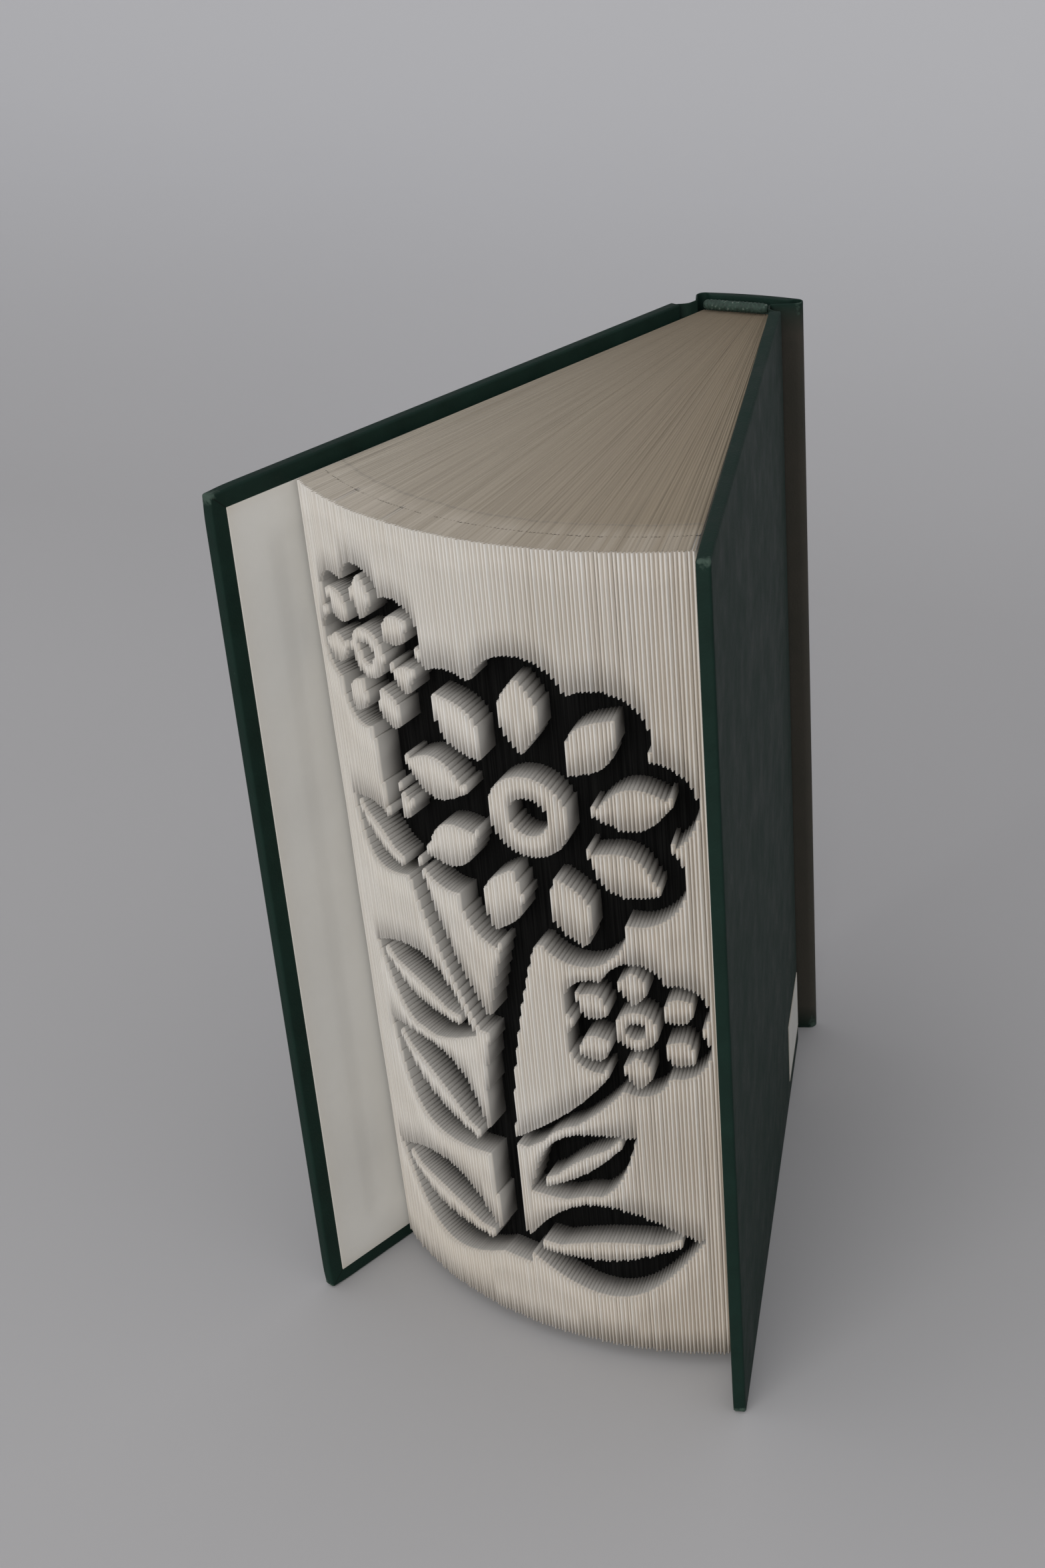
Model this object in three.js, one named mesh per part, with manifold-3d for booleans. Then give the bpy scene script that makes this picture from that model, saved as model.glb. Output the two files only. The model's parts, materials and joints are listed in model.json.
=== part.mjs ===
// A cloth-bound hardcover book that stands on its tail with its covers sprung apart by folded leaves.
// The leaves are folded so that their fore edge fans out and a flower spray is sunk into it.
// Millimetres, +Z up. The spine is at the back (+Y), the fore edge faces -Y, the front cover is at -X.
import * as THREE from 'three';
import { mergeVertices } from 'three/addons/utils/BufferGeometryUtils.js';
import Module from 'manifold-3d';

const wasm = await Module();
wasm.setup();

// covers
const coverHeight = 215;
const coverReach = 156; // hinge line to fore edge, over the cloth
const jointWidth = 8; // hinge line to the covered spine edge of a board
const boardThick = 2;
const clothThick = 0.35;
const paperThick = 0.2;
const turnIn = 15; // cloth folded over onto the inside of a board
const pasteBorder = 4; // cloth left showing round an endpaper
const edgeRound = 0.8;
const frontSplay = 17.6; // degrees that each cover stands out from the closed book
const backSplay = 16.3;
const seat = 0.25; // clearance between pieces that touch

// text block
const blockSquare = 3.5; // how far the covers stand past the leaves at head and tail
const blockBack = 17.4; // thickness at the spine
const backDepth = 4.5; // spine of the case to the back of the text block
const leafReach = 147.5; // longest fold, back of the block to fore edge
const crestPlace = 0.67; // where across the fan the longest fold is, 0 front to 1 back
const crestDrop = 30; // how strongly the reach falls off to either side of it
const tailSag = 4; // reach lost at the tail, where the block has sunk
const fanClearance = 0.3; // degrees between a cover and the leaves next to it
const foldCount = 56;
const foldValley = 1.1; // depth of the gap between two folds
const foldRoot = 1; // how far a standing fold reaches below the floor of the recess
const recessDepth = 10;
const floorRidge = 0.5; // each fold also stands a little proud of the floor of the recess

// spine of the case
const spineWidth = 28;
const spineOffset = 2.7; // the case sits this far to the back cover's side of the block
const spineCrown = 0.8;
const shoulderRound = 2;
const inlayThick = 1;
const grooveReach = 2.5; // hinge line to the bottom of the joint groove
const hingeSide = 1.3; // hinge line outside the side of the block
const hingeBehind = 0.5; // hinge line behind the back of the block
const grooveLift = 0.3; // outside of the groove over the inside face of the pastedown
const jointTuck = 0.4; // gap between the joint cloth and the edge of a board
const liningThick = 0.4;
const liningMargin = 12; // head and tail of the block left bare by the lining
const liningInset = 0.5; // sides of the block's back left bare by the lining
const bandBead = 1.3; // radius of a headband's bead
const bandTape = 9; // tape below the bead
const bandTapeThick = 0.4;
const bandInset = 0.3; // band shorter than the block's back at each side
const pasteStart = 1; // joint edge of a pastedown to the board's edge

const rad = THREE.MathUtils.degToRad;
const lerp = THREE.MathUtils.lerp;
const hingeX = blockBack / 2 + hingeSide;
const hingeY = hingeBehind - backDepth;
const blockLow = blockSquare;
const blockHigh = coverHeight - blockSquare;

// across a cover, measured outwards from its hinge line
const pasteIn = -1.2;
const turnInFace = pasteIn + paperThick + seat;
const boardIn = turnInFace + clothThick + seat;
const boardOut = boardIn + boardThick;
const clothOut = boardOut + seat + clothThick;

const cloth = { color: 0x26342f, roughness: 0.75, metalness: 0 };
const paper = { color: 0xd2cabc, roughness: 0.9, metalness: 0 };
const endpaper = { color: 0xb9b7b0, roughness: 0.85, metalness: 0 };
const card = { color: 0x8c8375, roughness: 0.95, metalness: 0 };
const thread = { color: 0x1f3a2c, roughness: 0.8, metalness: 0 };

function solid(geometry) {
  const bare = geometry.clone();
  bare.deleteAttribute('normal');
  bare.deleteAttribute('uv');
  const merged = mergeVertices(bare, 1e-5);
  return new wasm.Manifold(new wasm.Mesh({
    numProp: 3,
    vertProperties: new Float32Array(merged.attributes.position.array),
    triVerts: new Uint32Array(merged.index.array),
  }));
}

function toGeometry(manifold) {
  const { vertProperties, triVerts } = manifold.getMesh();
  const geometry = new THREE.BufferGeometry();
  geometry.setAttribute('position', new THREE.BufferAttribute(vertProperties, 3));
  geometry.setIndex(new THREE.BufferAttribute(triVerts, 1));
  geometry.computeVertexNormals();
  return geometry;
}

function piece(name, shape, finish) {
  const geometry = shape.isBufferGeometry ? shape : toGeometry(shape);
  const mesh = new THREE.Mesh(geometry, new THREE.MeshStandardMaterial(finish));
  mesh.name = name;
  return mesh;
}

// outline in X and Y, raised from low to high
function raise(points, low, high) {
  const shape = new THREE.Shape(points.map(([x, y]) => new THREE.Vector2(x, y)));
  const geometry = new THREE.ExtrudeGeometry(shape, { depth: high - low, bevelEnabled: false });
  return geometry.translate(0, 0, low);
}

// outline in X and Z, carried along Y from near to far
function carry(points, near, far) {
  const geometry = raise(points, -far, -near);
  return geometry.rotateX(Math.PI / 2);
}

// outline in Y and Z, carried along X from left to right
function carryAcross(points, left, right) {
  const geometry = raise(points, left, right);
  return geometry.rotateX(Math.PI / 2).rotateZ(Math.PI / 2);
}

// rectangle with rounded corners, from one corner to the other
function roundedRect(x0, y0, x1, y1, radius, steps = 4) {
  const corners = [[x1 - radius, y1 - radius], [x0 + radius, y1 - radius],
    [x0 + radius, y0 + radius], [x1 - radius, y0 + radius]];
  return corners.flatMap(([x, y], quarter) => Array.from({ length: steps + 1 }, (_, i) => {
    const turn = (quarter + i / steps) * Math.PI / 2;
    return [x + radius * Math.cos(turn), y + radius * Math.sin(turn)];
  }));
}

// outline of a sheet that lies inside a path of points, a thickness deep
function sheet(path, depth, thick) {
  const inset = (distance) => path.map(([x, y], i) => {
    const [ax, ay] = path[Math.max(i - 1, 0)];
    const [bx, by] = path[Math.min(i + 1, path.length - 1)];
    const length = Math.hypot(bx - ax, by - ay);
    const before = Math.hypot(x - ax, y - ay) || 1;
    const after = Math.hypot(bx - x, by - y) || 1;
    const inner = i > 0 && i < path.length - 1;
    const cosine = inner ? ((x - ax) * (bx - x) + (y - ay) * (by - y)) / (before * after) : 1;
    const mitre = distance / Math.sqrt((1 + cosine) / 2);
    return [x + mitre * (by - ay) / length, y - mitre * (bx - ax) / length];
  });
  return [...inset(depth), ...inset(depth + thick).reverse()];
}

// the leaves: place 0 to 1 counts across the fan, length runs along a leaf from the back of the block
const leafAngle = (place) => rad(lerp(fanClearance - frontSplay, backSplay - fanClearance, place));
const reachAt = (place, z) => leafReach - crestDrop * (place - crestPlace) ** 2
  - tailSag * (1 - z / coverHeight);

function onLeaf(place, length) {
  const angle = leafAngle(place);
  return [lerp(-blockBack, blockBack, place) / 2 + length * Math.sin(angle),
    -backDepth - length * Math.cos(angle)];
}

// the sunk picture: each mark covers those before it, and the last one over a point decides
const foreWidth = blockBack + leafReach * rad(frontSplay + backSplay - 2 * fanClearance);
const sunk = true;
const raised = false;

function leafMark(u, z, length, width, turn, state) {
  const cosine = Math.cos(rad(turn));
  const sine = Math.sin(rad(turn));
  return { state, covers: (pu, pz) => {
    const along = ((pu - u) * cosine + (pz - z) * sine) / length;
    const aside = Math.abs((pz - z) * cosine - (pu - u) * sine);
    return along > 0 && along < 1 && aside < width / 2 * Math.sin(Math.PI * along);
  } };
}

function discMark(u, z, radius, state) {
  return { state, covers: (pu, pz) => Math.hypot(pu - u, pz - z) < radius };
}

function stemMark(u0, z0, u1, z1, bow, width, state) {
  return { state, covers: (pu, pz) => {
    const along = (pz - z0) / (z1 - z0);
    const middle = lerp(u0, u1, along) + bow * Math.sin(Math.PI * along);
    return along > 0 && along < 1 && Math.abs(pu - middle) < width / 2;
  } };
}

// a sunk leaf keeps a vein standing, a sunk bloom a petal in each scallop; as shares of the whole
const vein = { start: 0.14, length: 0.74, width: 0.17 };
const petal = { start: 0.4, length: 0.46, width: 0.42 };

function leafWithVein(u, z, length, width, turn) {
  const start = vein.start * length;
  return [leafMark(u, z, length, width, turn, sunk),
    leafMark(u + start * Math.cos(rad(turn)), z + start * Math.sin(rad(turn)),
      vein.length * length, vein.width * width, turn, raised)];
}

function bloom(u, z, petals, radius, scallop, eye) {
  const heart = radius - scallop / 2;
  const turns = Array.from({ length: petals }, (_, i) => 90 + i * 360 / petals);
  const outwards = (turn, distance) => [u + distance * Math.cos(rad(turn)),
    z + distance * Math.sin(rad(turn))];
  return [
    discMark(u, z, heart, sunk),
    ...turns.map((turn) => discMark(...outwards(turn, heart), scallop / 2, sunk)),
    ...turns.map((turn) => leafMark(...outwards(turn, petal.start * radius), petal.length * radius,
      petal.width * scallop, turn, raised)),
    discMark(u, z, eye, raised),
    discMark(u, z, eye / 2, sunk),
  ];
}

const marks = [
  stemMark(-3, 22, 10, 128, -6, 8, sunk),
  stemMark(-4, 88, -28, 168, -7, 6.5, sunk),
  stemMark(0, 58, 33, 90, 4, 6.5, sunk),
  ...leafWithVein(-4, 24, 45, 27, 166),
  ...leafWithVein(-2, 27, 49, 28, 12),
  ...leafWithVein(-6, 52, 44, 27, 146),
  ...leafWithVein(3, 45, 36, 18, 38),
  ...leafWithVein(-8, 86, 38, 24, 162),
  ...leafWithVein(-23, 124, 26, 18, 150),
  ...bloom(33, 97, 6, 18, 15, 4.8),
  ...bloom(-29, 178, 7, 21, 15, 5.6),
  ...bloom(12, 149, 9, 38, 23, 9.5),
];

function isSunk(u, z) {
  const over = marks.findLast((mark) => mark.covers(u, z));
  return over !== undefined && over.state;
}

// heights between which a fold stands out to the fore edge; neighbours never end at one height
function standingRuns(column) {
  const u = ((column + 0.5) / foldCount - 0.5) * foreWidth;
  const step = 0.1;
  const shortest = 2;
  const first = blockLow + (column % 2 ? 0.5 : 1) * step;
  const levels = [blockLow];
  for (let z = first; z < blockHigh - step; z += step) {
    const standing = levels.length % 2 === 1;
    if (isSunk(u, z) === standing && z - levels.at(-1) > shortest) levels.push(z);
  }
  if (levels.length % 2) levels.push(blockHigh);
  return Array.from({ length: levels.length / 2 }, (_, i) => levels.slice(2 * i, 2 * i + 2));
}

// carved with the fore edge laid out flat, X counting folds and Y the depth, then bent to the fan
function textBlock() {
  const columns = Array.from({ length: foldCount }, (_, i) => i);
  const floor = columns.flatMap((column) => [[column, recessDepth],
    [column + 0.5, recessDepth - floorRidge]]);
  const core = raise([...floor, [foldCount, recessDepth], [foldCount, leafReach], [0, leafReach]],
    blockLow, blockHigh);
  const folds = columns.flatMap((column) => {
    const root = recessDepth + foldRoot;
    const outline = [[column, root], [column, foldValley], [column + 0.5, 0], [column + 1, foldValley],
      [column + 1, root]];
    return standingRuns(column).map(([low, high]) => solid(raise(outline, low, high)));
  });
  const geometry = toGeometry(wasm.Manifold.union([solid(core), ...folds]));
  const points = geometry.attributes.position;
  for (let i = 0; i < points.count; i += 1) {
    const place = points.getX(i) / foldCount;
    const depth = points.getY(i);
    const length = depth < leafReach / 2 ? reachAt(place, points.getZ(i)) - depth : 0;
    points.setXY(i, ...onLeaf(place, length));
  }
  geometry.computeVertexNormals();
  return piece('text_block', geometry, paper);
}

// plan of the case from the front joint round the spine to the back joint, over the cloth
function casePath() {
  const half = spineWidth / 2;
  const side = (mirror, splay) => {
    const centre = [half + mirror * spineOffset - shoulderRound, -spineCrown - shoulderRound];
    const slope = rad(splay);
    const place = (along, out) => [hingeX + along * Math.sin(slope) + out * Math.cos(slope),
      hingeY - along * Math.cos(slope) + out * Math.sin(slope)];
    const groove = place(grooveReach, pasteIn + grooveLift);
    const [dx, dy] = [groove[0] - centre[0], groove[1] - centre[1]];
    const finish = Math.atan2(dy, dx) + Math.acos(shoulderRound / Math.hypot(dx, dy));
    const steps = 7;
    const arc = Array.from({ length: steps + 1 }, (_, i) => {
      const turn = lerp(Math.PI / 2, finish, i / steps);
      return [centre[0] + shoulderRound * Math.cos(turn), centre[1] + shoulderRound * Math.sin(turn)];
    });
    return [...arc, groove, place(jointWidth - jointTuck, turnInFace + clothThick)];
  };
  const flat = half - shoulderRound;
  const back = [-0.6, -0.2, 0.2, 0.6].map((share) => [spineOffset + share * flat, -spineCrown * share ** 2]);
  const front = side(-1, frontSplay).map(([x, y]) => [-x, y]).reverse();
  return [...front, ...back, ...side(1, backSplay)];
}

// the part of the case path over the flat of the spine, between the shoulders
function spineFlat(margin) {
  const half = spineWidth / 2 - margin;
  return [-1, -0.5, 0, 0.5, 1].map((share) => [spineOffset + share * half, -spineCrown * share ** 2]);
}

function spineCloth() {
  const outer = solid(raise(sheet(casePath(), 0, clothThick), 0, coverHeight));
  const folded = clothThick + seat + inlayThick + seat;
  const flat = spineFlat(shoulderRound);
  const inner = sheet(flat, folded, clothThick);
  const cap = sheet(flat, clothThick / 2, folded + clothThick / 2);
  return wasm.Manifold.union([outer,
    solid(raise(inner, 0, turnIn)),
    solid(raise(inner, coverHeight - turnIn, coverHeight)),
    solid(raise(cap, 0, clothThick)),
    solid(raise(cap, coverHeight - clothThick, coverHeight)),
  ]);
}

function spineInlay() {
  const outline = sheet(spineFlat(shoulderRound), clothThick + seat, inlayThick);
  return raise(outline, clothThick + seat, coverHeight - clothThick - seat);
}

function headband(blockEnd, up) {
  const centreY = -backDepth - 0.2 * bandBead;
  const centreZ = blockEnd + up * (bandBead + seat);
  const tapeIn = -backDepth + seat;
  const bead = Array.from({ length: 12 }, (_, i) => {
    const turn = i * Math.PI / 6;
    return [centreY + bandBead * Math.cos(turn), centreZ + bandBead * Math.sin(turn)];
  });
  const end = blockEnd - up * bandTape;
  const tape = [[tapeIn, Math.min(end, centreZ)], [tapeIn + bandTapeThick, Math.min(end, centreZ)],
    [tapeIn + bandTapeThick, Math.max(end, centreZ)], [tapeIn, Math.max(end, centreZ)]];
  const half = blockBack / 2 - bandInset;
  return wasm.Manifold.union([solid(carryAcross(bead, -half, half)), solid(carryAcross(tape, -half, half))]);
}

function spineLining() {
  const half = blockBack / 2 - liningInset;
  const outline = [[-half, -backDepth + seat], [half, -backDepth + seat],
    [half, -backDepth + seat + liningThick], [-half, -backDepth + seat + liningThick]];
  return raise(outline, blockLow + liningMargin, blockHigh - liningMargin);
}

// a cover lies along -Y of its own group, with its outside towards X times side
function cover(name, side, splay) {
  const group = new THREE.Group();
  group.position.set(side * hingeX, hingeY, 0);
  group.rotation.z = side * rad(splay);
  const across = (a, b) => [Math.min(side * a, side * b), Math.max(side * a, side * b)];
  const slab = (start, end, inFace, outFace, low, high) => {
    const [left, right] = across(inFace, outFace);
    return raise([[left, -end], [right, -end], [right, -start], [left, -start]], low, high);
  };

  const boardStart = jointWidth + clothThick + seat;
  const boardEnd = coverReach - clothThick - seat;
  const boardLow = clothThick + seat;
  const boardHigh = coverHeight - boardLow;
  const board = slab(boardStart, boardEnd, boardIn, boardOut, boardLow, boardHigh);

  const [left, right] = across(turnInFace, clothOut);
  const foreRounded = raise(roundedRect(left, -coverReach, right, -jointWidth, edgeRound), 0, coverHeight);
  const endsRounded = carry(roundedRect(left, 0, right, coverHeight, edgeRound), -coverReach, -jointWidth);
  const pocket = slab(boardStart - seat, boardEnd + seat, boardIn - seat, boardOut + seat,
    clothThick, coverHeight - clothThick);
  const window = slab(0, coverReach - turnIn, turnInFace - 1, boardIn, turnIn, coverHeight - turnIn);
  const wrap = solid(foreRounded).intersect(solid(endsRounded)).subtract(solid(pocket))
    .subtract(solid(window));

  const pastedown = slab(jointWidth + pasteStart, coverReach - pasteBorder, pasteIn, pasteIn + paperThick,
    pasteBorder, coverHeight - pasteBorder);
  group.add(piece(`${name}_board`, board, card), piece(`${name}_cloth`, wrap, cloth),
    piece(`${name}_pastedown`, pastedown, endpaper));
  return group;
}

const book = new THREE.Group();
book.add(
  textBlock(),
  piece('spine_lining', spineLining(), card),
  piece('headband', headband(blockHigh, 1), thread),
  piece('tailband', headband(blockLow, -1), thread),
  piece('spine_inlay', spineInlay(), card),
  piece('spine_cloth', spineCloth(), cloth),
  cover('front', -1, frontSplay),
  cover('back', 1, backSplay),
);

// the reference point is the middle of the ground that the book covers
const extent = new THREE.Box3().setFromObject(book);
const middle = extent.getCenter(new THREE.Vector3());
book.position.set(-middle.x, -middle.y, 0);
book.updateMatrixWorld(true);

export default book;
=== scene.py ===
# A folded hardcover book: green cloth case, fanned leaves, a flower spray sunk in the fore edge
import json
import math
import bmesh
import bpy
import numpy as np
from mathutils import Matrix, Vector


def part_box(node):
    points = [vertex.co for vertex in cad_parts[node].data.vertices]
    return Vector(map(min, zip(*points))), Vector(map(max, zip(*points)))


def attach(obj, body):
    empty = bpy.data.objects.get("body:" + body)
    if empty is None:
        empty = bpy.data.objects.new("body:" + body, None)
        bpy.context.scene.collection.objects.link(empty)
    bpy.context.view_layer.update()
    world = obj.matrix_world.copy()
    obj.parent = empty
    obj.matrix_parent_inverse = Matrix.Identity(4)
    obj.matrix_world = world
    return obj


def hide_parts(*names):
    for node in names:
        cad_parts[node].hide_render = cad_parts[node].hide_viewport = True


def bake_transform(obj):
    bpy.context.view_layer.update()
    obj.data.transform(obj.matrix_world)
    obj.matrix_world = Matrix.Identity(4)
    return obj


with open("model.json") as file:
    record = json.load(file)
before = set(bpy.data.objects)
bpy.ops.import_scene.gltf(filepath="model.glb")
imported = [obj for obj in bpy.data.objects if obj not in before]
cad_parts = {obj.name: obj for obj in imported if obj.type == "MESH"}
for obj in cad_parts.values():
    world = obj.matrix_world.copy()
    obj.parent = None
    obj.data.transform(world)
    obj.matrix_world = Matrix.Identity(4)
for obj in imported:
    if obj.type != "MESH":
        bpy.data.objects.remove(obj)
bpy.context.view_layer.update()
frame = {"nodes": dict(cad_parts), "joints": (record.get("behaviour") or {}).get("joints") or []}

print("book: frame loaded")

milli = 0.001
dice = np.random.default_rng(11)
hinges = {joint["name"]: np.array(joint["pos_m"]) / milli for joint in frame["joints"]}
middleX = (hinges["front_hinge"][0] + hinges["back_hinge"][0]) / 2

# the case, in millimetres, as the solids have it
case = {
    "height": 215, "reach": 156, "joint": 8, "splay": {-1: 17.6, 1: 16.3},
    "pasteIn": -1.0, "turnInFace": -0.75, "clothOut": 2.25,
    "turnIn": 15, "border": 4, "edgeRound": 0.6, "cornerBlunt": 0.3,
}
hingeAt = {-1: hinges["front_hinge"], 1: hinges["back_hinge"]}
caseY = hinges["back_hinge"][1] + 4  # the back of the spine


def onCover(side, along, out, z):
    # a step along the cover from its hinge line, then a step outwards from it
    slope = math.radians(case["splay"][side])
    x = hingeAt[side][0] + side * (along * math.sin(slope) + out * math.cos(slope))
    y = hingeAt[side][1] - along * math.cos(slope) + out * math.sin(slope)
    return np.stack(np.broadcast_arrays(x, y, z), axis=-1)


noMitre = 9  # a mitre value that is far from any fold


def smooth(low, high, value):
    t = np.clip((value - low) / (high - low), 0, 1)
    return t * t * (3 - 2 * t)


# mesh helpers
def gridQuads(rows, columns, closed=False):
    # each quad joins two neighbours in a row to the same two in the next row
    across = np.arange(columns if closed else columns - 1)
    down = np.arange(rows - 1)[:, None] * columns
    after = (across + 1) % columns
    quads = np.stack([down + across, down + after, down + after + columns,
                      down + across + columns], axis=-1)
    return quads.reshape(-1, 4)


def capQuads(count):
    # closes a ring of points with quads from one side to the other; an odd ring ends in a triangle
    index = np.arange((count - 1) // 2)
    quads = np.stack([index, index + 1, count - 2 - index, count - 1 - index], axis=1)
    if count % 2:
        quads[-1, 2] = quads[-1, 3]
    return quads


def gather(patches):
    # several (points, quads, values) grids become one list of points with shifted quads
    points, quads, values, owner, start = [], [], {}, [], 0
    for number, (place, faces, marks) in enumerate(patches):
        place = np.asarray(place, float).reshape(-1, 3)
        points.append(place)
        quads.append(faces + start)
        owner.append(np.full(len(faces), number))
        for name, mark in marks.items():
            values.setdefault(name, []).append(np.asarray(mark, float).ravel())
        start += len(place)
    return (np.concatenate(points), np.concatenate(quads),
            {name: np.concatenate(marks) for name, marks in values.items()}, np.concatenate(owner))


def makePiece(name, points, quads, material, values=None, slots=None, merge=0.0, turn=False):
    # points and merge in millimetres; values become point attributes; slots gives a material
    # number for each face; turn points the faces outwards
    mesh = bpy.data.meshes.new(name)
    mesh.vertices.add(len(points))
    mesh.vertices.foreach_set("co", (points * milli).ravel())
    triangle = quads[:, 2] == quads[:, 3]
    sizes = np.where(triangle, 3, 4)
    keep = np.ones((len(quads), 4), bool)
    keep[triangle, 3] = False
    mesh.loops.add(int(sizes.sum()))
    mesh.loops.foreach_set("vertex_index", quads[keep].astype(np.int32))
    mesh.polygons.add(len(quads))
    starts = np.concatenate([[0], np.cumsum(sizes)[:-1]])
    mesh.polygons.foreach_set("loop_start", starts.astype(np.int32))
    for label, mark in (values or {}).items():
        attribute = mesh.attributes.new(label, "FLOAT", "POINT")
        attribute.data.foreach_set("value", np.asarray(mark, np.float32))
    for entry in (material if isinstance(material, list) else [material]):
        mesh.materials.append(entry)
    if slots is not None:
        mesh.polygons.foreach_set("material_index", np.asarray(slots, np.int32))
    mesh.polygons.foreach_set("use_smooth", np.ones(len(quads), bool))
    mesh.update(calc_edges=True)
    if merge:
        soft = bmesh.new()
        soft.from_mesh(mesh)
        bmesh.ops.remove_doubles(soft, verts=soft.verts, dist=merge * milli)
        if turn:
            bmesh.ops.recalc_face_normals(soft, faces=soft.faces)
        soft.to_mesh(mesh)
        soft.free()
    piece = bpy.data.objects.new(name, mesh)
    bpy.context.scene.collection.objects.link(piece)
    return piece


def softEdges(piece, degrees):
    # shading stays crisp over folds sharper than this
    with bpy.context.temp_override(object=piece, selected_objects=[piece], active_object=piece):
        bpy.ops.object.shade_smooth_by_angle(angle=math.radians(degrees))


# shader groups used by more than one material
def newGroup(name, inputs, outputs):
    group = bpy.data.node_groups.new(name, "ShaderNodeTree")
    for label, kind, value in inputs:
        socket = group.interface.new_socket(label, in_out="INPUT", socket_type=kind)
        if value is not None:
            socket.default_value = value
    for label, kind in outputs:
        group.interface.new_socket(label, in_out="OUTPUT", socket_type=kind)
    return group, group.nodes.new("NodeGroupInput"), group.nodes.new("NodeGroupOutput")


def feed(tree, socket, value):
    if isinstance(value, bpy.types.NodeSocket):
        tree.links.new(value, socket)
    else:
        socket.default_value = value


def addNode(tree, kind, inputs=None, **settings):
    node = tree.nodes.new(kind)
    for label, value in settings.items():
        setattr(node, label, value)
    for label, value in (inputs or {}).items():
        feed(tree, node.inputs[label], value)
    return node


def math2(tree, operation, a, b=0.0, clamp=False):
    node = addNode(tree, "ShaderNodeMath", {0: a, 1: b}, operation=operation, use_clamp=clamp)
    return node.outputs[0]


def spread(tree, value, low, high, toLow=0.0, toHigh=1.0):
    node = addNode(tree, "ShaderNodeMapRange", {"Value": value, "From Min": low, "From Max": high,
                                               "To Min": toLow, "To Max": toHigh}, clamp=True)
    return node.outputs["Result"]


def mixColour(tree, factor, a, b):
    # inputs 6 and 7 and output 2 are the mix node's colours
    node = addNode(tree, "ShaderNodeMix", {"Factor": factor, 6: a, 7: b}, data_type="RGBA")
    return node.outputs[2]


grain = {
    "cell": 1900.0, "mottle": 90.0, "cellDepth": -0.8, "threadDepth": 0.6,
    "rubStart": 0.55, "speck": 900.0, "patch": 60.0, "speckShare": 0.7, "patchShare": 0.6,
    "rubMiddle": 0.65, "rubContrast": 5.0, "broadShare": 0.35, "fibre": 2500.0, "cloud": 25.0,
}


def clothGroup():
    # fine pebbled book cloth: small rounded cells over a slower unevenness
    group, entry, leave = newGroup("bookCloth", [
        ("Vector", "NodeSocketVector", None), ("Cell", "NodeSocketFloat", grain["cell"]),
        ("Mottle", "NodeSocketFloat", grain["mottle"])],
        [("Height", "NodeSocketFloat"), ("Tone", "NodeSocketFloat")])
    cells = addNode(group, "ShaderNodeTexVoronoi", {"Vector": entry.outputs["Vector"],
                                                   "Scale": entry.outputs["Cell"],
                                                   "Randomness": 0.9}, feature="SMOOTH_F1")
    threads = addNode(group, "ShaderNodeTexNoise", {"Vector": entry.outputs["Vector"],
                                                   "Scale": entry.outputs["Cell"],
                                                   "Detail": 2.0})
    slow = addNode(group, "ShaderNodeTexNoise", {"Vector": entry.outputs["Vector"],
                                                "Scale": entry.outputs["Mottle"], "Detail": 5.0,
                                                "Roughness": 0.65})
    height = math2(group, "ADD",
                   math2(group, "MULTIPLY", cells.outputs["Distance"], grain["cellDepth"]),
                   math2(group, "MULTIPLY", threads.outputs["Fac"], grain["threadDepth"]))
    group.links.new(height, leave.inputs["Height"])
    group.links.new(slow.outputs["Fac"], leave.inputs["Tone"])
    return group


def rubGroup():
    # wear: the stored rub value, broken up by noise so that it comes through in specks
    group, entry, leave = newGroup("edgeRub", [
        ("Vector", "NodeSocketVector", None), ("Rub", "NodeSocketFloat", 0.0),
        ("Start", "NodeSocketFloat", grain["rubStart"]),
        ("Grain", "NodeSocketFloat", grain["speck"])],
        [("Mask", "NodeSocketFloat")])
    specks = addNode(group, "ShaderNodeTexNoise", {"Vector": entry.outputs["Vector"],
                                                  "Scale": entry.outputs["Grain"], "Detail": 4.0})
    slow = addNode(group, "ShaderNodeTexNoise", {"Vector": entry.outputs["Vector"],
                                                "Scale": grain["patch"], "Detail": 3.0})
    wear = math2(group, "ADD", entry.outputs["Rub"],
                 math2(group, "MULTIPLY", specks.outputs["Fac"], grain["speckShare"]))
    wear = math2(group, "ADD", wear,
                 math2(group, "MULTIPLY", slow.outputs["Fac"], grain["patchShare"]))
    level = math2(group, "SUBTRACT", wear,
                  math2(group, "ADD", entry.outputs["Start"], grain["rubMiddle"]))
    mask = math2(group, "MULTIPLY", level, grain["rubContrast"], clamp=True)
    group.links.new(mask, leave.inputs["Mask"])
    return group


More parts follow.
